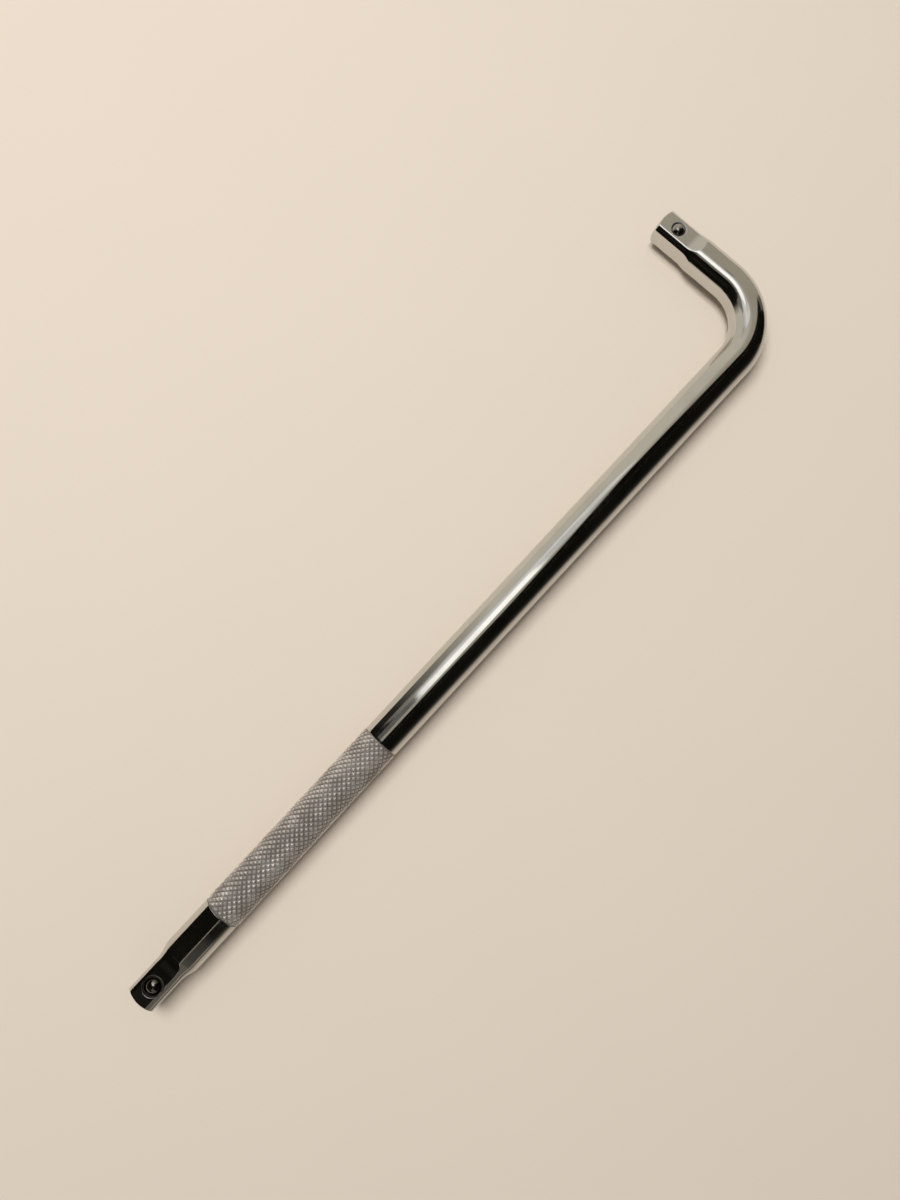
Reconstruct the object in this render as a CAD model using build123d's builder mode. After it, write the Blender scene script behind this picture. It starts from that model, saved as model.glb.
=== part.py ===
from build123d import *
import math
import os

# L-handle socket wrench: one bent bar with a half-inch drive square at each end.
# It lies flat on its knurled grip, with the long arm along X, the short arm
# pointing to +Y and both detent balls up. The origin is the middle of the
# footprint, at floor level. Lengths are in millimetres, angles in degrees.

# Bar
bar_diameter = 16.0
long_arm_length = 380.0
short_arm_length = 64.0
bend_radius = 26.0
bend_turn = 90.0

# Knurled grip
grip_diameter = 16.4
grip_start = 44.0
grip_length = 90.0
knurl_depth = 0.45
knurl_pitch = 2.65
knurl_start_count = 20

# Drive squares
square_across_flats = 12.65
square_flat_length = 15.5
square_side_count = 4
runout_radius = 12.0
end_face_diameter = 12.2
end_chamfer_length = 1.1

# Detent seats
ball_from_end = 8.4
ball_diameter = 6.35
ball_protrusion = 1.5
ball_clearance = 0.075
bore_depth = 9.6
lip_dish_depth = 0.25
long_stake_diameter = 9.0
short_stake_diameter = 8.0
stake_groove_width = 0.7
stake_groove_depth = 0.25
stake_land_width = 0.1

# Detent springs, their round wire simplified to flat sides
spring_outer_diameter = 5.2
spring_wire_diameter = 0.6
spring_wire_side_count = 6
spring_turns = 3.0
spring_turn_step = 0.5
spring_clearance = 0.02

# Overrun of the cuts past the surfaces that they open
cut_overrun = 2.0

# Worked out from the sizes above
bar_radius = bar_diameter / 2
grip_radius = grip_diameter / 2
grip_end = grip_start + grip_length
knurl_valley_radius = grip_radius - knurl_depth
half_flats = square_across_flats / 2
ball_radius = ball_diameter / 2
bore_radius = ball_radius + ball_clearance
ball_centre_depth = ball_radius - ball_protrusion
wire_radius = spring_wire_diameter / 2
coil_radius = (spring_outer_diameter - spring_wire_diameter) / 2
side_turn = 360.0 / square_side_count

overall_length = long_arm_length + bar_radius
overall_width = short_arm_length + grip_radius
long_end_x = -overall_length / 2
short_axis_x = long_end_x + long_arm_length
long_axis_y = grip_radius - overall_width / 2
short_end_y = overall_width / 2

# Planes of the two end faces: x points up, z runs into the bar
long_end = Plane(
    origin=(long_end_x, long_axis_y, grip_radius),
    x_dir=(0, 0, 1),
    z_dir=(1, 0, 0),
)
short_end = Plane(
    origin=(short_axis_x, short_end_y, grip_radius),
    x_dir=(0, 0, 1),
    z_dir=(0, -1, 0),
)


def make_knurl():
    """Diamond knurl of the grip, a closed shell where peaks and valleys take turns."""
    row_count = 2 * round(grip_length / knurl_pitch)
    column_count = 2 * knurl_start_count

    def grid_point(row, column):
        peak = (row + column) % 2 == 0 and 0 < row < row_count
        reach = grip_radius if peak else knurl_valley_radius
        turn = column % column_count * math.tau / column_count
        outward = long_end.x_dir * math.cos(turn) + long_end.y_dir * math.sin(turn)
        inward = long_end.z_dir * (grip_start + grip_length * row / row_count)
        return long_end.origin + inward + outward * reach

    def polygon(*points):
        return Face(Wire.make_polygon(points, close=True))

    faces = []
    for row in range(row_count):
        for column in range(column_count):
            near = grid_point(row, column)
            beside = grid_point(row, column + 1)
            further = grid_point(row + 1, column)
            across = grid_point(row + 1, column + 1)
            if (row + column) % 2 == 0:
                faces += [polygon(near, beside, further), polygon(across, further, beside)]
            else:
                faces += [polygon(near, beside, across), polygon(near, across, further)]
    for row in (0, row_count):
        faces.append(polygon(*[grid_point(row, column) for column in range(column_count)]))
    return Solid(Shell(faces))


def lengthwise(end, turn):
    """Plane along an arm: x runs into the bar, y points out at the given turn."""
    outward = end.x_dir.rotate(Axis((0, 0, 0), end.z_dir), turn)
    return Plane(origin=end.origin, x_dir=end.z_dir, z_dir=end.z_dir.cross(outward))


def cut_drive_square(end):
    """Mill the flats of one drive square, each with the cutter's round run-out."""
    cut_height = bar_radius + cut_overrun
    runout_turn = math.degrees(math.acos(1 - (cut_height - half_flats) / runout_radius))
    for side in range(square_side_count):
        with BuildSketch(lengthwise(end, side * side_turn)) as milled:
            with BuildLine():
                flat = Line((-cut_overrun, half_flats), (square_flat_length, half_flats))
                runout = JernArc(flat @ 1, flat % 1, runout_radius, runout_turn)
                Polyline(runout @ 1, (-cut_overrun, cut_height), flat @ 0)
            make_face()
        extrude(milled.sketch, cut_height, both=True, mode=Mode.SUBTRACT)


def seat_plane(end):
    """Plane on the top flat at the ball: x runs into the bar, z points up."""
    origin = end.origin + end.z_dir * ball_from_end + end.x_dir * half_flats
    return Plane(origin=origin, x_dir=end.z_dir, z_dir=end.x_dir)


def cut_ball_seat(end, stake_diameter):
    """Bore for the ball and spring, with the dished lip and ring groove of the staking."""
    seat = seat_plane(end)
    upright = Plane(origin=seat.origin, x_dir=seat.x_dir, z_dir=-seat.y_dir)
    ball_axis = Axis(seat.origin, seat.z_dir)
    groove_outer = stake_diameter / 2
    groove_inner = groove_outer - stake_groove_width
    groove_middle = (groove_inner + groove_outer) / 2
    dish_radius = groove_inner - stake_land_width
    lip_height = ball_centre_depth - lip_dish_depth
    lip_radius = math.sqrt(bore_radius**2 - lip_height**2)
    lip_angle = math.degrees(math.asin(lip_height / bore_radius))
    with BuildSketch(upright) as bore:
        with BuildLine():
            wall = Line((bore_radius, -bore_depth), (bore_radius, -ball_centre_depth))
            CenterArc((0, -ball_centre_depth), bore_radius, 0, lip_angle)
            Polyline(
                (lip_radius, -lip_dish_depth),
                (dish_radius, 0),
                (dish_radius, cut_overrun),
                (0, cut_overrun),
                (0, -bore_depth),
                wall @ 0,
            )
        make_face()
    revolve(bore.sketch, axis=ball_axis, mode=Mode.SUBTRACT)
    with BuildSketch(upright) as groove:
        with BuildLine():
            Polyline(
                (groove_inner, 0),
                (groove_middle, -stake_groove_depth),
                (groove_outer, 0),
                close=True,
            )
        make_face()
    revolve(groove.sketch, axis=ball_axis, mode=Mode.SUBTRACT)


def make_ball(end):
    """Detent ball, resting a hair below the lip that keeps it in."""
    with BuildPart(seat_plane(end).offset(-ball_centre_depth)) as ball:
        Sphere(ball_radius)
    return ball


def make_spring(end):
    """Coil spring under a ball: each half turn of its helix is a pair of tangent arcs."""
    foot_depth = bore_depth - wire_radius - spring_clearance
    touch = ball_radius + wire_radius + spring_clearance
    top_depth = ball_centre_depth + math.sqrt(touch**2 - coil_radius**2)
    turn_rise = (foot_depth - top_depth) / spring_turns
    turn_run = coil_radius * math.tau
    foot = seat_plane(end).offset(-foot_depth).origin

    def centreline(turns):
        angle = turns * math.tau
        across = Vector(math.cos(angle), math.sin(angle), 0)
        along = Vector(-math.sin(angle), math.cos(angle), 0)
        point = foot + across * coil_radius + Vector(0, 0, turn_rise * turns)
        return point, (along * turn_run + Vector(0, 0, turn_rise)).normalized()

    with BuildPart() as spring:
        with BuildLine() as coil:
            for step in range(round(spring_turns / spring_turn_step)):
                start, start_tangent = centreline(step * spring_turn_step)
                stop, stop_tangent = centreline((step + 1) * spring_turn_step)
                chord = stop - start
                lean = chord.dot(start_tangent + stop_tangent)
                spread = 2 * (1 - start_tangent.dot(stop_tangent))
                reach = (math.sqrt(lean**2 + spread * chord.dot(chord)) - lean) / spread
                join = (start + stop + (start_tangent - stop_tangent) * reach) / 2
                first = TangentArc(start, join, tangent=start_tangent)
                TangentArc(join, stop, tangent=first % 1)
        with BuildSketch(Plane(coil.line @ 0, z_dir=coil.line % 0)):
            RegularPolygon(wire_radius, spring_wire_side_count)
        sweep(clean=False)
    return spring


knurl = make_knurl()

with BuildPart() as bar:
    with BuildSketch(long_end):
        Circle(bar_radius)
    extrude(amount=grip_start)
    with BuildLine(Plane.XY.offset(grip_radius)):
        shank_start = (long_end_x + grip_end, long_axis_y)
        shank = Line(shank_start, (short_axis_x - bend_radius, long_axis_y))
        bend = JernArc(shank @ 1, shank % 1, bend_radius, bend_turn)
        Line(bend @ 1, (short_axis_x, short_end_y))
    with BuildSketch(long_end.offset(grip_end)):
        Circle(bar_radius)
    sweep()
    for end in (long_end, short_end):
        face = bar.faces().filter_by(GeomType.PLANE).sort_by_distance(end.origin)[0]
        face_step = bar_radius - end_face_diameter / 2
        chamfer(face.edges(), length=face_step, length2=end_chamfer_length, reference=face)
        cut_drive_square(end)
    cut_ball_seat(long_end, long_stake_diameter)
    cut_ball_seat(short_end, short_stake_diameter)
    add(knurl)

long_drive_ball = make_ball(long_end)
short_drive_ball = make_ball(short_end)
long_drive_spring = make_spring(long_end)
short_drive_spring = make_spring(short_end)

bar.part.label = "bar"
long_drive_ball.part.label = "long_drive_ball"
long_drive_spring.part.label = "long_drive_spring"
short_drive_ball.part.label = "short_drive_ball"
short_drive_spring.part.label = "short_drive_spring"

os.makedirs("parts", exist_ok=True)
export_step(bar.part, "parts/bar.step")
export_step(long_drive_ball.part, "parts/long_drive_ball.step")
export_step(long_drive_spring.part, "parts/long_drive_spring.step")
export_step(short_drive_ball.part, "parts/short_drive_ball.step")
export_step(short_drive_spring.part, "parts/short_drive_spring.step")
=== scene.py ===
import math

import bmesh
import bpy
from mathutils import Matrix, Vector


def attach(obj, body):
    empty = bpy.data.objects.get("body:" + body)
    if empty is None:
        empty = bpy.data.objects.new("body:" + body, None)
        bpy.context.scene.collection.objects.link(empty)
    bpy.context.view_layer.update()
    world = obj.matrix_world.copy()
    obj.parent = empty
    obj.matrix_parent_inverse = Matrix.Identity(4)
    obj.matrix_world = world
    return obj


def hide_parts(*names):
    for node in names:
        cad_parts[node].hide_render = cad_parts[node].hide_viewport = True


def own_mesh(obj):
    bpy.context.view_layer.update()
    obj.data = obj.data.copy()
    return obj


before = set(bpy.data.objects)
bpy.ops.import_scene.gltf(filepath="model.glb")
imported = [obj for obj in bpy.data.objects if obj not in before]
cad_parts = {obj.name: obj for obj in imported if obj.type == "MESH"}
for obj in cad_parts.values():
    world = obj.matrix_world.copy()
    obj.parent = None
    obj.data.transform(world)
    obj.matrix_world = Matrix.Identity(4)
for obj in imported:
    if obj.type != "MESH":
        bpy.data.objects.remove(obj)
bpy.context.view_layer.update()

scene = bpy.context.scene
mm = 0.001
up = Vector((0, 0, 1))

# where the arms, the bend, the knurl and the balls lie, as in the frame
layout = dict(
    longEndX=-194 * mm,
    longAxisY=-27.9 * mm,
    shortAxisX=186 * mm,
    shortEndY=36.1 * mm,
    axisHeight=8.2 * mm,
    bendRadius=26 * mm,
    knurlPeak=8.2 * mm,
    knurlValley=7.75 * mm,
    ballFromEnd=8.4 * mm,
)
longEnd = Vector((layout["longEndX"], layout["longAxisY"], layout["axisHeight"]))
shortEnd = Vector((layout["shortAxisX"], layout["shortEndY"], layout["axisHeight"]))
longInwards, longSide = Vector((1, 0, 0)), Vector((0, 1, 0))
shortInwards, shortSide = Vector((0, -1, 0)), Vector((-1, 0, 0))
bendRadius = layout["bendRadius"]
bendStart = layout["shortAxisX"] - layout["longEndX"] - bendRadius
bendStop = bendStart + bendRadius * math.pi / 2
barLength = bendStop + layout["shortEndY"] - layout["longAxisY"] - bendRadius
print("frame loaded, bar length along its middle", round(barLength / mm, 1), "mm")


def makePiece(name, bm, material, sharpAngle=30):
    bmesh.ops.recalc_face_normals(bm, faces=bm.faces)
    mesh = bpy.data.meshes.new(name)
    bm.to_mesh(mesh)
    bm.free()
    mesh.shade_smooth()
    mesh.set_sharp_from_angle(angle=math.radians(sharpAngle))
    mesh.materials.append(material)
    piece = bpy.data.objects.new(name, mesh)
    scene.collection.objects.link(piece)
    return piece


def growRing(bm, loop):
    # a copy of the loop, joined to it by faces
    grown = bmesh.ops.extrude_edge_only(bm, edges=loop)["geom"]
    edges = [g for g in grown if isinstance(g, bmesh.types.BMEdge)]
    verts = [g for g in grown if isinstance(g, bmesh.types.BMVert)]
    return edges, verts


def spread(start, stop, steps):
    return [start + (stop - start) * step / steps for step in range(steps + 1)]


def newMaterial(name):
    material = bpy.data.materials.new(name)
    material.use_nodes = True
    tree = material.node_tree
    tree.nodes.clear()
    return material, tree, tree.nodes.new("ShaderNodeOutputMaterial")


def addNode(tree, kind, values=None, **settings):
    made = tree.nodes.new(kind)
    for key, value in settings.items():
        setattr(made, key, value)
    for key, value in (values or {}).items():
        made.inputs[key].default_value = value
    return made


def feed(tree, node, sources):
    # links each source to the node's socket of that name or number
    for socket, source in sources.items():
        tree.links.new(source, node.inputs[socket])


def objectCoord(tree):
    return addNode(tree, "ShaderNodeTexCoord").outputs["Object"]


def attribute(tree, name):
    return addNode(tree, "ShaderNodeAttribute", attribute_name=name).outputs["Vector"]


def splitAxes(tree, vector):
    made = addNode(tree, "ShaderNodeSeparateXYZ")
    feed(tree, made, {"Vector": vector})
    return made.outputs


def vectorMath(tree, operation, first, second=None):
    made = addNode(tree, "ShaderNodeVectorMath", operation=operation)
    feed(tree, made, {0: first})
    if second:
        made.inputs[1].default_value = second
    return made.outputs["Value" if operation == "LENGTH" else "Vector"]


def mapRange(tree, source, low, high, toLow=0.0, toHigh=1.0, **settings):
    values = {"From Min": low, "From Max": high, "To Min": toLow, "To Max": toHigh}
    made = addNode(tree, "ShaderNodeMapRange", values, **settings)
    feed(tree, made, {"Value": source})
    return made.outputs["Result"]


def noise(tree, vector, scale, detail=3.0):
    made = addNode(tree, "ShaderNodeTexNoise", {"Scale": scale, "Detail": detail})
    feed(tree, made, {"Vector": vector})
    return made.outputs["Fac"]


def mixColors(tree, factor, first, second):
    made = addNode(tree, "ShaderNodeMix", data_type="RGBA")
    feed(tree, made, {"Factor": factor})
    for socket, color in (("A", first), ("B", second)):
        if isinstance(color, tuple):
            made.inputs[socket].default_value = color
        else:
            feed(tree, made, {socket: color})
    return made.outputs["Result"]


def combine(tree, operation, first, second):
    made = addNode(tree, "ShaderNodeMath", operation=operation)
    feed(tree, made, {0: first, 1: second})
    return made.outputs["Value"]


def addBump(tree, height, distance, strength):
    made = addNode(tree, "ShaderNodeBump", {"Distance": distance, "Strength": strength})
    feed(tree, made, {"Height": height})
    return made.outputs["Normal"]


def mixShaders(tree, factor, first, second):
    made = addNode(tree, "ShaderNodeMixShader")
    feed(tree, made, {"Fac": factor, 1: first, 2: second})
    return made.outputs["Shader"]


# bright chrome: mirror-like, with faint rings of the last polish and cloudy smears, and painted
# shade darkening the seats round the balls
chrome = dict(
    bright=(0.685, 0.675, 0.645, 1),
    smeared=(0.635, 0.625, 0.595, 1),
    # painted shade for the seats round the balls
    seatShadeColor=(0.05, 0.045, 0.035, 1),
    cloudScale=70.0,
    cloudSpan=(0.35, 0.7),      # spans are the noise's values between which a look changes
    cloudRough=(0.045, 0.13),
    smearSpan=(0.45, 0.75),
    ringPitch=0.35 * mm,
    ringReach=3.0 * mm,
    ringDepth=0.004 * mm,
    ringStrength=0.35,
    ringSpan=(0.55, 0.8),
    ringRough=0.05,
    stakedRough=0.5,            # added where the seats are staked most
)


def makeChrome():
    material, tree, output = newMaterial("brightChrome")
    coord = attribute(tree, "barCoord")
    cloud = noise(tree, coord, chrome["cloudScale"])
    squeeze = (1 / chrome["ringPitch"], 1 / chrome["ringReach"], 1 / chrome["ringReach"])
    stretched = addNode(tree, "ShaderNodeMapping", {"Scale": squeeze})
    feed(tree, stretched, {"Vector": coord})
    rings = noise(tree, stretched.outputs["Vector"], 1.0)
    marks = splitAxes(tree, attribute(tree, "seatMarks"))      # X where staked, Y where painted shade darkens the seat round the ball
    roughCloud = mapRange(tree, cloud, *chrome["cloudSpan"], *chrome["cloudRough"])
    roughRings = mapRange(tree, rings, *chrome["ringSpan"], 0.0, chrome["ringRough"])
    roughStaked = mapRange(tree, marks["X"], 0.0, 1.0, 0.0, chrome["stakedRough"])
    rough = combine(tree, "ADD", combine(tree, "ADD", roughCloud, roughRings), roughStaked)
    smear = mapRange(tree, cloud, *chrome["smearSpan"])
    unshaded = mixColors(tree, smear, chrome["bright"], chrome["smeared"])
    shader = addNode(tree, "ShaderNodeBsdfPrincipled", {"Metallic": 1.0})
    feed(tree, shader, {
        "Base Color": mixColors(tree, marks["Y"], unshaded, chrome["seatShadeColor"]),
        "Roughness": rough,
        "Normal": addBump(tree, rings, chrome["ringDepth"], chrome["ringStrength"]),
    })
    feed(tree, output, {"Surface": shader.outputs["BSDF"]})
    return material


# knurled chrome: satin, dull and with painted shade in the valleys, and rubbed bright on the
# diamonds by wear
satin = dict(
    peakColor=(0.76, 0.71, 0.66, 1),
    valleyShadeColor=(0.36, 0.325, 0.29, 1),
    metal=0.72,
    peakRough=0.21,
    valleyRough=0.5,
    peakColorFrom=0.7,             # share of the knurl's height that has the peaks' full color
    noiseSpan=(0.3, 0.7),
    patchScale=160.0,
    patchDetail=2.0,
    patchWear=(-0.35, 0.25),    # how far patches shift the height that sets the look
    grainScale=1400.0,
    grainRough=(-0.08, 0.1),
    grainDepth=0.02 * mm,
    grainStrength=0.5,
)


def makeSatin():
    material, tree, output = newMaterial("knurledChrome")
    coord = objectCoord(tree)
    axis = (0, layout["longAxisY"], layout["axisHeight"])
    crosswise = vectorMath(tree, "MULTIPLY", vectorMath(tree, "SUBTRACT", coord, axis), (0, 1, 1))
    reach = vectorMath(tree, "LENGTH", crosswise)
    height = mapRange(tree, reach, layout["knurlValley"], layout["knurlPeak"])
    grain = noise(tree, coord, satin["grainScale"])
    patches = noise(tree, coord, satin["patchScale"], satin["patchDetail"])
    wear = mapRange(tree, patches, *satin["noiseSpan"], *satin["patchWear"])
    wearAndDepth = combine(tree, "ADD", wear, height)
    roughWorn = mapRange(tree, wearAndDepth, 0.0, 1.0, satin["valleyRough"], satin["peakRough"])
    roughGrain = mapRange(tree, grain, *satin["noiseSpan"], *satin["grainRough"])
    # darker towards the valleys: painted shade in the knurl's grooves, with wear rubbing the
    # peaks bright
    wearAndShade = mapRange(tree, wearAndDepth, 0.0, satin["peakColorFrom"])
    shader = addNode(tree, "ShaderNodeBsdfPrincipled", {"Metallic": satin["metal"]})
    feed(tree, shader, {
        "Base Color": mixColors(tree, wearAndShade, satin["valleyShadeColor"], satin["peakColor"]),
        "Roughness": combine(tree, "ADD", roughWorn, roughGrain),
        "Normal": addBump(tree, grain, satin["grainDepth"], satin["grainStrength"]),
    })
    feed(tree, output, {"Surface": shader.outputs["BSDF"]})
    return material


# plain steels: the balls polished and a little smoky, with painted shade on their lower parts,
# the springs drawn and oiled
steels = dict(
    ball=dict(
        first=(0.50, 0.49, 0.47, 1),
        second=(0.36, 0.345, 0.33, 1),
        edge=(0.2, 0.19, 0.17, 1),      # tint of what it mirrors at a grazing angle
        rough=(0.07, 0.2),
        grainScale=500.0,
        grainDepth=0.004 * mm,
    ),
    spring=dict(
        first=(0.52, 0.51, 0.49, 1),
        second=(0.34, 0.31, 0.28, 1),
        edge=(1, 1, 1, 1),
        rough=(0.24, 0.42),
        grainScale=1500.0,
        grainDepth=0.01 * mm,
    ),
    stainSpan=(0.4, 0.7),
    grainSpan=(0.3, 0.7),
    grainStrength=0.3,
    # painted shade on the balls, up to these heights
    longBallShade=dict(color=(0.10, 0.09, 0.075, 1), heights=(14.95 * mm, 15.5 * mm)),
    shortBallShade=dict(color=(0.30, 0.285, 0.26, 1), heights=(14.3 * mm, 14.9 * mm)),
)


def makeSteel(name, look, paintedShade=None):
    material, tree, output = newMaterial(name)
    coord = objectCoord(tree)
    grain = noise(tree, coord, look["grainScale"])
    stain = mapRange(tree, grain, *steels["stainSpan"])
    color = mixColors(tree, stain, look["first"], look["second"])
    if paintedShade:
        # painted shade: the ball is darker below these heights, where it sits in its seat
        unshaded = mapRange(tree, splitAxes(tree, coord)["Z"], *paintedShade["heights"])
        color = mixColors(tree, unshaded, paintedShade["color"], color)
    values = {"Metallic": 1.0, "Specular Tint": look["edge"]}
    shader = addNode(tree, "ShaderNodeBsdfPrincipled", values)
    feed(tree, shader, {
        "Base Color": color,
        "Roughness": mapRange(tree, grain, *steels["grainSpan"], *look["rough"]),
        "Normal": addBump(tree, grain, look["grainDepth"], steels["grainStrength"]),
    })
    feed(tree, output, {"Surface": shader.outputs["BSDF"]})
    return material


brightChrome = makeChrome()
knurledChrome = makeSatin()
longBallSteel = makeSteel("longBallSteel", steels["ball"], steels["longBallShade"])
shortBallSteel = makeSteel("shortBallSteel", steels["ball"], steels["shortBallShade"])
springSteel = makeSteel("springSteel", steels["spring"])
print("materials made")

# bar: a round rod, extruded ring by ring from the long arm's end to the short arm's
bar = dict(
    radius=8 * mm,
    columns=288,
    halfFlats=6.325 * mm,
    flatLength=15.5 * mm,
    runoutRadius=12 * mm,
    noFlat=1.0,                 # a height far outside the bar
    leastSine=0.05,             # keeps the next flat's height finite
    cornerRadius=7.42 * mm,     # the square's corners, turned down a little
    cornerFade=7 * mm,
    flatRound=0.5 * mm,         # softness of the edges along the flats
    settleRounds=12,            # rounds of looking for the skin's height
    faceRadius=6.1 * mm,
    faceShares=(0.93, 0.6, 0.15),   # rings on an end face
    chamferLength=0.78 * mm,
    chamferRound=0.3 * mm,
    chamferRings=8,
    roundRings=5,               # rings round an edge
    seatColumns=30,             # half the columns that a ball's seat may open
    rowsFrom=1.9 * mm,
    rowsTo=23 * mm,
    rows=(3, 24, 4, 32),        # before a seat, along it, after it and on the run-out
    shankFrom=24 * mm,
    gripStart=44 * mm,
    gripLength=90 * mm,
    gripMargin=1 * mm,
    neckRadius=7.4 * mm,        # hidden under the grip
    neckGap=0.12 * mm,
    shoulderRound=0.25 * mm,
    collarRings=6,
    shankRings=24,
    bendRings=60,
)


def holeReach(columns):
    # half the width of a seat's opening that takes so many columns on each side
    return bar["halfFlats"] * math.tan(columns * math.tau / bar["columns"])


def softMin(a, b, width):
    overlap = max(width - abs(a - b), 0) / width
    return min(a, b) - overlap * overlap * width / 4


def flatHeight(fromEnd):
    past = fromEnd - bar["flatLength"]
    if past <= 0:
        return bar["halfFlats"]
    if past >= bar["runoutRadius"]:
        return bar["noFlat"]
    drop = math.sqrt(bar["runoutRadius"] ** 2 - past ** 2)
    return bar["halfFlats"] + bar["runoutRadius"] - drop


def cornerReach(fromEnd):
    fade = min(max((fromEnd - bar["flatLength"]) / bar["cornerFade"], 0), 1)
    fade = fade * fade * (3 - 2 * fade)
    return bar["cornerRadius"] + (bar["radius"] - bar["cornerRadius"]) * fade


def sectionRadius(turn, fromEnd, roundRadius):
    # round stock, softly cut by the nearest flat and by the next one
    fromFlat = abs((turn + math.pi / 4) % (math.pi / 2) - math.pi / 4)
    height = flatHeight(fromEnd)
    nearest = height / math.cos(fromFlat)
    further = height / max(math.sin(fromFlat), bar["leastSine"])
    return softMin(softMin(roundRadius, nearest, bar["flatRound"]), further, bar["flatRound"])


def skinHeight(lateral, fromEnd):
    # height of the square's skin over the bar's middle, at a distance to its side
    height, roundRadius = bar["halfFlats"], cornerReach(fromEnd)
    for settling in range(bar["settleRounds"]):
        turn = math.atan2(lateral, height)
        height = sectionRadius(turn, fromEnd, roundRadius) * math.cos(turn)
    return height


def roundCorner(before, corner, after, reach, steps):
    # points of a rounded corner between two straight runs of a profile
    start = corner + (before - corner).normalized() * reach
    stop = corner + (after - corner).normalized() * reach
    points = []
    for t in spread(0, 1, steps):
        points.append(start * (1 - t) ** 2 + corner * 2 * t * (1 - t) + stop * t * t)
    return points


def endStations():
    # (distance from the end, round radius) along one drive square and its run-out
    middle, face = Vector((0, 0)), Vector((0, bar["faceRadius"]))
    shoulder = Vector((bar["chamferLength"], bar["cornerRadius"]))
    flatStop = Vector((bar["flatLength"], bar["cornerRadius"]))
    rim = roundCorner(middle, face, shoulder, bar["chamferRound"], bar["roundRings"])
    edge = roundCorner(face, shoulder, flatStop, bar["chamferRound"], bar["roundRings"])
    slope = [rim[-1].lerp(edge[0], share) for share in spread(0, 1, bar["chamferRings"])[1:-1]]
    stations = [(p.x, p.y) for p in rim + slope + edge]
    reach, ballAt = holeReach(bar["seatColumns"]), layout["ballFromEnd"]
    stops = (bar["rowsFrom"], ballAt - reach, ballAt + reach, bar["flatLength"], bar["rowsTo"])
    for index, steps in enumerate(bar["rows"]):
        rows = spread(stops[index], stops[index + 1], steps)
        for fromEnd in rows[min(index, 1):]:        # a run's first row is the last one's end
            stations.append((fromEnd, cornerReach(fromEnd)))
    return stations


def lengthwise(s):
    # middle and sideways direction of the section at s along the bar
    if s <= bendStart:
        return longEnd + longInwards * s, longSide
    if s >= bendStop:
        return shortEnd + shortInwards * (barLength - s), shortSide
    turned = (s - bendStart) / bendRadius
    middle = longEnd + Vector((bendStart, bendRadius, 0))
    middle += Vector((math.sin(turned), -math.cos(turned), 0)) * bendRadius
    return middle, Vector((-math.sin(turned), math.cos(turned), 0))


def barStations():
    # (s, distance from the nearer end, round radius)
    radius, margin = bar["radius"], bar["gripMargin"]
    gripStart, gripStop = bar["gripStart"], bar["gripStart"] + bar["gripLength"]
    stepAt = gripStart - bar["neckGap"]
    before, corner = Vector((bar["shankFrom"], radius)), Vector((stepAt, radius))
    neck = Vector((stepAt, bar["neckRadius"]))
    shoulder = roundCorner(before, corner, neck, bar["shoulderRound"], bar["roundRings"]) + [neck]
    collar = spread(bar["shankFrom"], gripStart - margin, bar["collarRings"])
    shank = spread(gripStop + margin, bendStart - margin, bar["shankRings"])
    bend = spread(bendStart, bendStop, bar["bendRings"])
    stations = [(s, s, r) for s, r in endStations()]
    stations += [(s, s, radius) for s in collar]
    stations += [(p.x, p.x, p.y) for p in shoulder]
    stations += [(gripStart + gripStop - p.x, gripStart, p.y) for p in reversed(shoulder)]
    stations += [(s, gripStart, radius) for s in shank + bend]
    return stations + [(barLength - s, s, r) for s, r in reversed(endStations())]


def makeBar():
    bm = bmesh.new()
    turnLayer = bm.verts.layers.float.new("turn")
    for name in ("barCoord", "seatMarks", "seatRim"):
        bm.verts.layers.float_vector.new(name)
    coordLayer = bm.verts.layers.float_vector["barCoord"]
    columns, radius = bar["columns"], bar["faceRadius"]
    bmesh.ops.create_circle(bm, cap_ends=False, segments=columns, radius=radius)
    for v in bm.verts:
        v[turnLayer] = math.atan2(v.co.x, v.co.y)
    loop, ring = list(bm.edges), list(bm.verts)
    for index, (s, fromEnd, roundRadius) in enumerate(barStations()):
        if index:
            loop, ring = growRing(bm, loop)
        middle, side = lengthwise(s)
        for v in ring:
            turn = v[turnLayer]
            reach = sectionRadius(turn, fromEnd, roundRadius)
            v.co = middle + (up * math.cos(turn) + side * math.sin(turn)) * reach
            v[coordLayer] = (s, reach * math.sin(turn), reach * math.cos(turn))
    return bm


def closeEnd(bm, end, s):
    # rings inwards over a flat end face, then its middle
    coordLayer = bm.verts.layers.float_vector["barCoord"]
    rims = [e for e in bm.edges if e.is_boundary]
    loop = [e for e in rims if (e.verts[0].co - end).length < bar["radius"]]
    for share in bar["faceShares"]:
        loop, ring = growRing(bm, loop)
        for v in ring:
            out = (v.co - end).normalized() * bar["faceRadius"] * share
            v.co = end + out
            v[coordLayer] = (s, out.x + out.y, out.z)
    bmesh.ops.contextual_create(bm, geom=loop)


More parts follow.
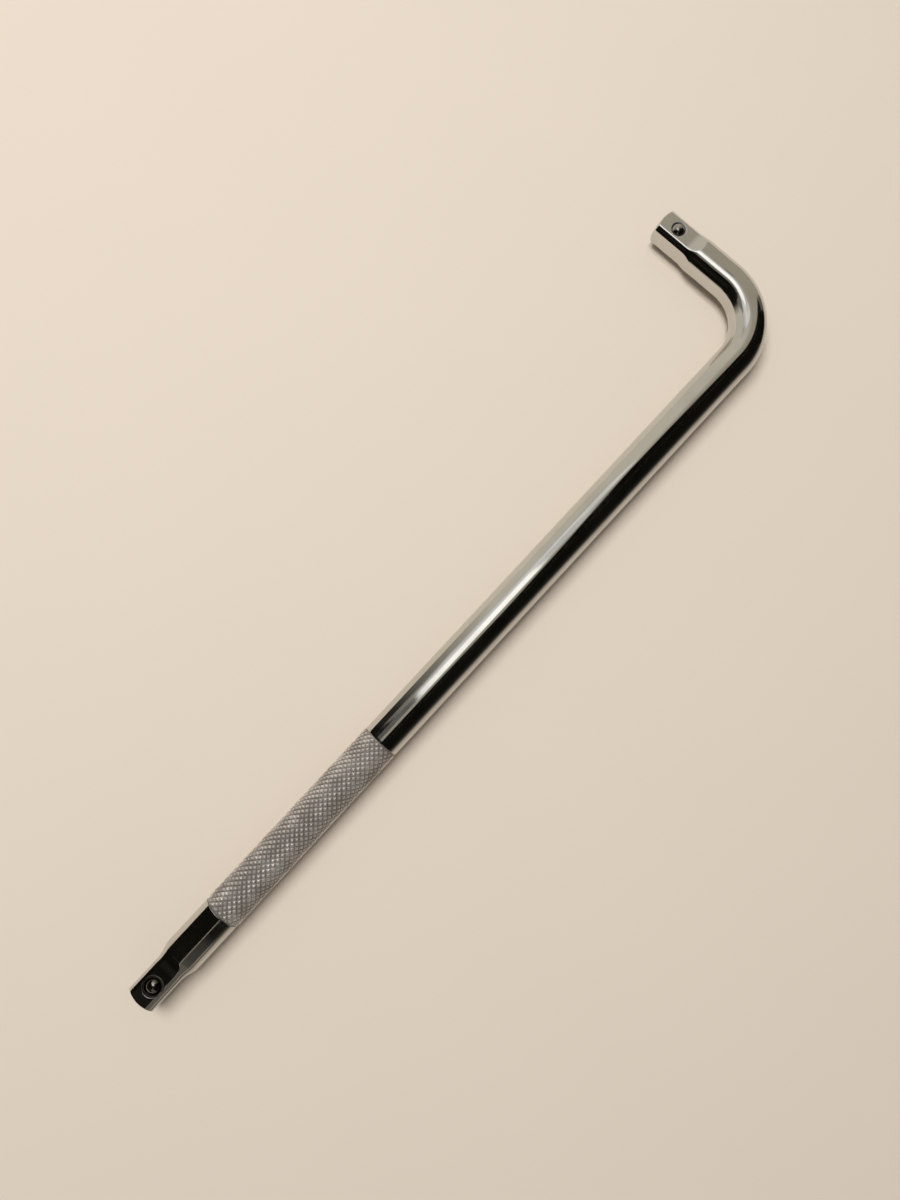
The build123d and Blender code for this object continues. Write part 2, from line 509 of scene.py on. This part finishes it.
# ball seats: the top flat is opened and the seat's rings are extruded down into the bore
seat = dict(
    boreRadius=3.25 * mm,
    boreDepth=9.6 * mm,
    floorShare=0.3,             # of the bore's radius, inside which its floor is one face
    ballDepth=1.675 * mm,       # the ball's middle, from where the bore has its full width
    lipFoot=1.1 * mm,
    dishRadius=3.62 * mm,
    dishDepth=0.03 * mm,
    landWidth=0.08 * mm,        # between the dish and the stake groove
    landDepth=0.02 * mm,
    margin=0.2 * mm,            # outside the stake groove
    rounding=(0.08 * mm, 0.08 * mm, 0.04 * mm, 0.04 * mm, 0.12 * mm),
    roundRings=4,
    easing=(0.15, 0.35, 0.6, 0.85),     # from the square opening to the round seat
    topReach=1 * mm,            # how far below the flat its faces are looked for
    paintedShadeRadius=3.2 * mm,
    longGroove=dict(
        columns=30,
        radius=4.4 * mm,
        wall=0.2 * mm,
        width=0.48 * mm,
        depth=0.09 * mm,
        lipRadius=3.0 * mm,
        lipDepth=0.13 * mm,
        staked=0.44,
        shadeShare=1,
    ),
    shortGroove=dict(
        columns=26,
        radius=3.75 * mm,
        wall=0.15 * mm,
        width=0.3 * mm,
        depth=0.04 * mm,
        lipRadius=2.93 * mm,
        lipDepth=0.22 * mm,
        staked=0.8,
        shadeShare=0.25,
    ),
)


def seatProfile(groove):
    # (radius, height over the flat) from outside the stake groove to the bore's floor
    outer, bore = groove["radius"], seat["boreRadius"]
    inner = outer - groove["width"]
    corners = [
        Vector((outer + seat["margin"], 0)),
        Vector((outer, 0)),
        Vector((outer - groove["wall"], -groove["depth"])),
        Vector((inner, -seat["landDepth"])),
        Vector((min(seat["dishRadius"], inner - seat["landWidth"]), -seat["dishDepth"])),
        Vector((groove["lipRadius"], -groove["lipDepth"])),
        Vector((groove["lipRadius"], -seat["lipFoot"])),
    ]
    points = []
    for index, reach in enumerate(seat["rounding"]):
        points += roundCorner(*corners[index:index + 3], reach, seat["roundRings"])
    points += [Vector((bore, -seat["ballDepth"])), Vector((bore, -seat["boreDepth"]))]
    return points + [Vector((seat["floorShare"] * bore, -seat["boreDepth"]))]


def seatMark(radius, groove):
    # (staked, painted shade) of the seat's surface at a radius
    # inside this radius the seat's lip and bore are darkened: painted shade round the ball
    if radius < seat["paintedShadeRadius"]:
        return groove["staked"] * (1 - groove["shadeShare"]), groove["shadeShare"]
    inGroove = groove["radius"] - groove["width"] < radius < groove["radius"]
    return (groove["staked"] if inGroove or radius < seat["dishRadius"] else 0), 0


def openSeat(bm, end, inwards, side, groove, alongBar):
    layers = bm.verts.layers.float_vector
    coordLayer, markLayer, rimLayer = layers["barCoord"], layers["seatMarks"], layers["seatRim"]
    reach, ballAt = holeReach(groove["columns"]), layout["ballFromEnd"]
    gone = []
    for face in bm.faces:
        offset = face.calc_center_median() - end
        inReach = abs(offset.dot(inwards) - ballAt) < reach and abs(offset.dot(side)) < reach
        if inReach and offset.z > bar["halfFlats"] - seat["topReach"]:
            gone.append(face)
    rim = [e for face in gone for e in face.edges]
    bmesh.ops.delete(bm, geom=gone, context="FACES")
    loop = [e for e in rim if e.is_valid and e.is_boundary]
    for v in set(v for e in loop for v in e.verts):
        offset = v.co - end
        v[rimLayer] = (offset.dot(inwards) - ballAt, offset.dot(side), 0)
    profile = seatProfile(groove)
    eased = [(share, profile[0]) for share in seat["easing"]]
    for share, point in eased + [(1, point) for point in profile]:
        loop, ring = growRing(bm, loop)
        onFlat = point.x > seat["boreRadius"]
        for v in ring:
            place = v[rimLayer].lerp(v[rimLayer].normalized() * point.x, share)
            fromEnd = ballAt + place.x
            height = skinHeight(place.y, fromEnd) if onFlat else bar["halfFlats"]
            height += point.y
            v.co = end + inwards * fromEnd + side * place.y + up * height
            v[coordLayer] = (alongBar(fromEnd), place.y, height)
            v[markLayer] = (*seatMark(point.x, groove), 0) if share == 1 else (0, 0, 0)
    bmesh.ops.contextual_create(bm, geom=loop)
    print("seat opened in", len(gone), "faces of the flat")


barMesh = makeBar()
closeEnd(barMesh, longEnd, 0)
closeEnd(barMesh, shortEnd, barLength)
openSeat(barMesh, longEnd, longInwards, longSide, seat["longGroove"], lambda s: s)
openSeat(
    barMesh, shortEnd, shortInwards, shortSide, seat["shortGroove"], lambda s: barLength - s
)
barPiece = makePiece("chromeBar", barMesh, brightChrome)
print("bar made,", len(barPiece.data.polygons), "faces")

# knurled grip: a grid poked into diagonals, wrapped round the arm and pressed into diamonds
grip = dict(
    starts=20,
    cellsLong=34,
    perCell=6,
    flatTop=0.82,
    endTaper=0.7 * mm,
    closeRadius=6.75 * mm,
    weld=0.002 * mm,
    sharpAngle=18,
)


def makeGrip():
    bm = bmesh.new()
    half = 0.5                  # of the grid, which starts one unit long and wide
    across = grip["starts"] * grip["perCell"]
    along = grip["cellsLong"] * grip["perCell"]
    bmesh.ops.create_grid(bm, x_segments=along, y_segments=across, size=half)
    bmesh.ops.poke(bm, faces=bm.faces)
    valley, depth = layout["knurlValley"], layout["knurlPeak"] - layout["knurlValley"]
    start = longEnd + Vector((bar["gripStart"], 0, 0))
    for v in bm.verts:
        alongShare, aroundShare = v.co.x + half, v.co.y + half
        alongCell, aroundCell = alongShare * grip["cellsLong"], aroundShare * grip["starts"]
        diagonals = (alongCell + aroundCell, alongCell - aroundCell)
        wave = min(1 - abs(diagonal % 1.0 * 2 - 1) for diagonal in diagonals)
        height = min(wave / grip["flatTop"], 1.0)
        s = alongShare * bar["gripLength"]
        height *= min(min(s, bar["gripLength"] - s) / grip["endTaper"], 1.0)
        reach = valley + depth * height
        turn = aroundShare * math.tau
        v.co = start + Vector((s, math.sin(turn) * reach, math.cos(turn) * reach))
    bmesh.ops.remove_doubles(bm, verts=bm.verts, dist=grip["weld"])
    for middle in (start, start + Vector((bar["gripLength"], 0, 0))):
        rims = [e for e in bm.edges if e.is_boundary]
        loop = [e for e in rims if abs(e.verts[0].co.x - middle.x) < mm]
        loop, ring = growRing(bm, loop)
        for v in ring:
            v.co = middle + (v.co - middle).normalized() * grip["closeRadius"]
        bmesh.ops.contextual_create(bm, geom=loop)
    return bm


gripPiece = makePiece("knurledGrip", makeGrip(), knurledChrome, grip["sharpAngle"])
for piece in (barPiece, gripPiece):
    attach(piece, "handle")
    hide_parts("bar")
print("grip made,", len(gripPiece.data.polygons), "faces")

# detent balls
ball = dict(radius=3.175 * mm, middleHeight=12.85 * mm, subdivisions=5)


def makeBall(name, end, inwards, body, node, material):
    middle = end + inwards * layout["ballFromEnd"]
    middle.z = ball["middleHeight"]
    bm = bmesh.new()
    bmesh.ops.create_icosphere(
        bm,
        subdivisions=ball["subdivisions"],
        radius=ball["radius"],
        matrix=Matrix.Translation(middle),
    )
    piece = makePiece(name, bm, material)
    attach(piece, body)
    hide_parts(node)


makeBall("longBall", longEnd, longInwards, "long_ball", "long_drive_ball", longBallSteel)
makeBall("shortBall", shortEnd, shortInwards, "short_ball", "short_drive_ball", shortBallSteel)
print("balls made")

# springs: round wire whose first and last turns lie flat
spring = dict(
    coilRadius=2.3 * mm,
    wireRadius=0.3 * mm,
    footHeight=5.245 * mm,
    topHeight=10.2 * mm,
    fixedHeight=4.945 * mm,     # of the bore's floor
    turns=5.5,
    flatTurns=0.6,
    wireSides=16,
    ringsPerTurn=36,
    keep=0.73,                  # of its length when the ball is pressed in
    sharpAngle=50,
)


def makeSpring(name, end, inwards, node):
    middle = end + inwards * layout["ballFromEnd"]
    rise = spring["topHeight"] - spring["footHeight"]
    climbTurns = spring["turns"] - 2 * spring["flatTurns"]

    def wirePoint(step):
        turn = step / spring["ringsPerTurn"]
        climb = min(max((turn - spring["flatTurns"]) / climbTurns, 0), 1)
        x = middle.x + math.cos(turn * math.tau) * spring["coilRadius"]
        y = middle.y + math.sin(turn * math.tau) * spring["coilRadius"]
        return Vector((x, y, spring["footHeight"] + rise * climb))

    bm = bmesh.new()
    ringLayer = bm.verts.layers.float_vector.new("wireRing")
    sides, radius = spring["wireSides"], spring["wireRadius"]
    bmesh.ops.create_circle(bm, cap_ends=False, segments=sides, radius=radius)
    for v in bm.verts:
        v[ringLayer] = v.co
    loop, ring = list(bm.edges), list(bm.verts)
    for step in range(int(spring["turns"] * spring["ringsPerTurn"]) + 1):
        if step:
            loop, ring = growRing(bm, loop)
        point = wirePoint(step)
        ahead = (wirePoint(step + 1) - wirePoint(step - 1)).normalized()
        outward = Vector((point.x - middle.x, point.y - middle.y, 0)).normalized()
        for v in ring:
            v.co = point + outward * v[ringLayer].x + ahead.cross(outward) * v[ringLayer].y
    bmesh.ops.holes_fill(bm, edges=[e for e in bm.edges if e.is_boundary], sides=0)
    piece = makePiece(name, bm, springSteel, spring["sharpAngle"])
    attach(piece, "handle")
    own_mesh(piece)
    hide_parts(node)


makeSpring("longSpring", longEnd, longInwards, "long_drive_spring")
makeSpring("shortSpring", shortEnd, shortInwards, "short_drive_spring")
print("springs made")

# floor: pale and plain; in the chrome it shows dimmer, and a painted shadow darkens it towards
# the near side
floorLook = dict(
    size=3.0,
    color=(0.70, 0.61, 0.51, 1),
    mottle=(0.685, 0.597, 0.498, 1),
    mottleScale=14.0,
    mottleDetail=4.0,
    paintedShadowSpan=(-0.12, -0.035),    # Y from the darkest of the painted shadow to where it ends
    paintedShadowColor=(0.13, 0.114, 0.095, 1),
    mirroredColor=(0.65, 0.57, 0.475, 1),
    fadeSpan=(0.5, 1.2),        # out there the floor passes into the backdrop
)
backdropColor = (0.62, 0.55, 0.47, 1)


def makeFloor():
    material, tree, output = newMaterial("paleFloor")
    coord = objectCoord(tree)
    path = addNode(tree, "ShaderNodeLightPath").outputs
    mottle = noise(tree, coord, floorLook["mottleScale"], floorLook["mottleDetail"])
    seen = mixColors(tree, mottle, floorLook["color"], floorLook["mottle"])
    # painted shadow: the floor as the chrome mirrors it goes dark towards the near side
    light = mapRange(tree, splitAxes(tree, coord)["Y"], *floorLook["paintedShadowSpan"])
    mirrored = mixColors(tree, light, floorLook["paintedShadowColor"], floorLook["mirroredColor"])
    shader = addNode(tree, "ShaderNodeBsdfDiffuse")
    feed(tree, shader, {"Color": mixColors(tree, path["Is Glossy Ray"], seen, mirrored)})
    reach = vectorMath(tree, "LENGTH", coord)
    faded = mapRange(tree, reach, *floorLook["fadeSpan"], interpolation_type="SMOOTHSTEP")
    seenFaded = combine(tree, "MULTIPLY", faded, path["Is Camera Ray"])
    backdrop = addNode(tree, "ShaderNodeEmission", {"Color": backdropColor})
    surface = mixShaders(tree, seenFaded, shader.outputs["BSDF"], backdrop.outputs["Emission"])
    feed(tree, output, {"Surface": surface})
    bm = bmesh.new()
    bmesh.ops.create_grid(bm, x_segments=1, y_segments=1, size=floorLook["size"])
    makePiece("floor", bm, material)


makeFloor()

# studio cards that only the chrome's reflections see, in metres
cards = dict(
    reach=0.6,                  # from the long arm's middle, and over the floor
    black=(0.0045, 0.0042, 0.003, 1),
    soot=(0.012, 0.0105, 0.008, 1),
    dusk=(0.032, 0.03, 0.025, 1),
    slate=(0.055, 0.052, 0.045, 1),
    grey=(0.13, 0.12, 0.10, 1),
    wall=dict(first=(0.02, 0.019, 0.016, 1), second=(0.60, 0.56, 0.475, 1), span=(-0.06, 0.06)),
    near=[      # strips round the long arm: name, X range, angles from straight up, color
        ("nearBlack", (-0.385, 1.6), (-72, -56, -40, -24), "black"),
        ("nearLow", (-0.385, 1.6), (-84, -72), "soot"),
        ("nearFoot", (-0.385, 1.6), (-90.5, -84), "dusk"),
        ("nearSlate", (-0.42, -0.385), (-84, -72, -56, -40, -24), "slate"),
        ("nearGrey", (-0.9, -0.42), (-84, -72, -56, -40, -24), "grey"),
    ],
    topBlack=[  # outline of the level card overhead
        (-0.455, -0.25), (-0.25, -0.25), (-0.25, -0.29), (1.6, -0.29), (0.6, -0.12),
        (0.481, -0.08), (0.37, 0.035), (0.306, 0.07), (0.26, 0.035), (0.2, -0.07),
        (0.094, -0.16), (-0.006, -0.115), (-0.115, -0.105), (-0.115, 0.3), (-0.455, 0.3),
    ],
    topSoot=((-0.9, -0.455), (-0.25, 0.3)),
    upright=[   # name, corners on the floor's plan, lowest and highest point, color
        ("farSide", [(-0.9, 0.3), (-0.08, 0.3)], (0.002, 0.6), "black"),
        ("farWall", [(-0.08, 0.3), (1.6, 0.3)], (0.002, 0.27), "wall"),
        # painted shadow: dark strips on the floor by the outer bend, seen only in the chrome
        ("bendShadowBlack", [(0.28, -0.127), (0.308, -0.10), (0.32, -0.071)], (0, 0.06), "black"),
        ("bendShadowGrey", [(0.32, -0.071), (0.327, -0.046)], (0, 0.06), "grey"),
        ("farEnd", [(-0.9, -0.6), (-0.9, 0.3)], (0.1, 0.6), "black"),
    ],
)
glare = dict(
    height=0.75,
    color=(1, 0.985, 0.955, 1),
    patches=[   # X range, Y range, strength
        ((-0.045, 0.19), (0.001, 0.39), 1.4),
        ((-0.14, -0.045), (0.045, 0.41), 0.12),
        ((0.19, 0.295), (0.04, 0.39), 0.62),
        ((-0.045, 0.295), (0.39, 0.62), 0.8),
        ((0.0, 0.34), (0.62, 0.87), 0.6),
        ((0.295, 0.40), (0.228, 0.62), 0.8),
    ],
)


def makeCards(name, outlines, color, strength=1.0):
    # a color is one tuple, or two colors of which the second comes in along X
    material, tree, output = newMaterial(name)
    shader = addNode(tree, "ShaderNodeEmission", {"Strength": strength})
    if isinstance(color, tuple):
        shader.inputs["Color"].default_value = color
    else:
        blend = mapRange(tree, splitAxes(tree, objectCoord(tree))["X"], *color["span"])
        feed(tree, shader, {"Color": mixColors(tree, blend, color["first"], color["second"])})
    feed(tree, output, {"Surface": shader.outputs["Emission"]})
    bm = bmesh.new()
    for outline in outlines:
        bm.faces.new([bm.verts.new(point) for point in outline])
    piece = makePiece(name, bm, material)
    piece.visible_camera = False
    piece.visible_diffuse = False
    piece.visible_shadow = False
    piece.visible_transmission = False


def levelCard(xs, ys, height):
    plan = ((xs[0], ys[0]), (xs[1], ys[0]), (xs[1], ys[1]), (xs[0], ys[1]))
    return [(x, y, height) for x, y in plan]


def nearCards(xs, angles):
    edges = []
    for angle in angles:
        y = math.sin(math.radians(angle)) * cards["reach"] + layout["longAxisY"]
        z = math.cos(math.radians(angle)) * cards["reach"] + layout["axisHeight"]
        edges.append((y, z))
    pairs = zip(edges, edges[1:])
    return [[(xs[0], *a), (xs[1], *a), (xs[1], *b), (xs[0], *b)] for a, b in pairs]


def uprightCards(corners, heights):
    low, high = heights
    pairs = zip(corners, corners[1:])
    return [[(*a, low), (*b, low), (*b, high), (*a, high)] for a, b in pairs]


for index, (xs, ys, strength) in enumerate(glare["patches"]):
    makeCards(f"glare{index}", [levelCard(xs, ys, glare["height"])], glare["color"], strength)
for name, xs, angles, color in cards["near"]:
    makeCards(name, nearCards(xs, angles), cards[color])
makeCards("topBlack", [[(x, y, cards["reach"]) for x, y in cards["topBlack"]]], cards["black"])
makeCards("topSoot", [levelCard(*cards["topSoot"], cards["reach"])], cards["soot"])
for name, corners, heights, color in cards["upright"]:
    makeCards(name, uprightCards(corners, heights), cards[color])
print("floor and cards made")

# light: one broad soft lamp, and a room that is even but for what the chrome mirrors
lamp = dict(place=(0.09, 0.49, 1.5), wide=0.62, deep=0.92, energy=22.8)
lampData = bpy.data.lights.new("softLamp", "AREA")
lampData.shape = "RECTANGLE"
lampData.size, lampData.size_y, lampData.energy = lamp["wide"], lamp["deep"], lamp["energy"]
lampObject = bpy.data.objects.new("softLamp", lampData)
lampObject.location = lamp["place"]
lampObject.visible_glossy = False
lampObject.visible_camera = False
scene.collection.objects.link(lampObject)

room = dict(
    ambient=(1.0, 0.97, 0.93, 1),
    ambientStrength=0.3,
    overhead=(0.385, 0.352, 0.285, 1),
    wallDim=(0.20, 0.187, 0.158, 1),
    wallBright=(0.60, 0.56, 0.475, 1),
    wallSpan=(0.14, 0.42),      # Y of the direction, from overhead to the far wall
    brightSpan=(-0.05, 0.35),   # X of the direction, from the wall's dim end to its bright one
)


def makeRoom():
    world = bpy.data.worlds.new("room")
    world.use_nodes = True
    tree = world.node_tree
    tree.nodes.clear()
    output = tree.nodes.new("ShaderNodeOutputWorld")
    direction = splitAxes(tree, addNode(tree, "ShaderNodeTexCoord").outputs["Generated"])
    bright = mapRange(tree, direction["X"], *room["brightSpan"])
    towardsWall = mapRange(tree, direction["Y"], *room["wallSpan"])
    wall = mixColors(tree, bright, room["wallDim"], room["wallBright"])
    mirrored = addNode(tree, "ShaderNodeBackground")
    feed(tree, mirrored, {"Color": mixColors(tree, towardsWall, room["overhead"], wall)})
    values = {"Color": room["ambient"], "Strength": room["ambientStrength"]}
    shader = addNode(tree, "ShaderNodeBackground", values).outputs["Background"]
    backdrop = addNode(tree, "ShaderNodeBackground", {"Color": backdropColor})
    path = addNode(tree, "ShaderNodeLightPath").outputs
    for ray, other in (("Is Glossy Ray", mirrored), ("Is Camera Ray", backdrop)):
        shader = mixShaders(tree, path[ray], shader, other.outputs["Background"])
    feed(tree, output, {"Surface": shader})
    return world


scene.world = makeRoom()
scene.view_settings.view_transform = "Standard"

# camera: placed and turned as the photograph was taken
view = dict(
    place=(-0.032251, -0.0397, 0.348945),
    turn=(7.58302, -0.08487, -47.12145),
    lens=24.976,
    sensor=36.0,
    nearest=0.01,
)
cameraData = bpy.data.cameras.new("camera")
cameraData.sensor_width = view["sensor"]
cameraData.lens = view["lens"]
cameraData.clip_start = view["nearest"]
camera = bpy.data.objects.new("camera", cameraData)
camera.location = view["place"]
camera.rotation_euler = [math.radians(angle) for angle in view["turn"]]
scene.collection.objects.link(camera)
scene.camera = camera
print("light and camera set")
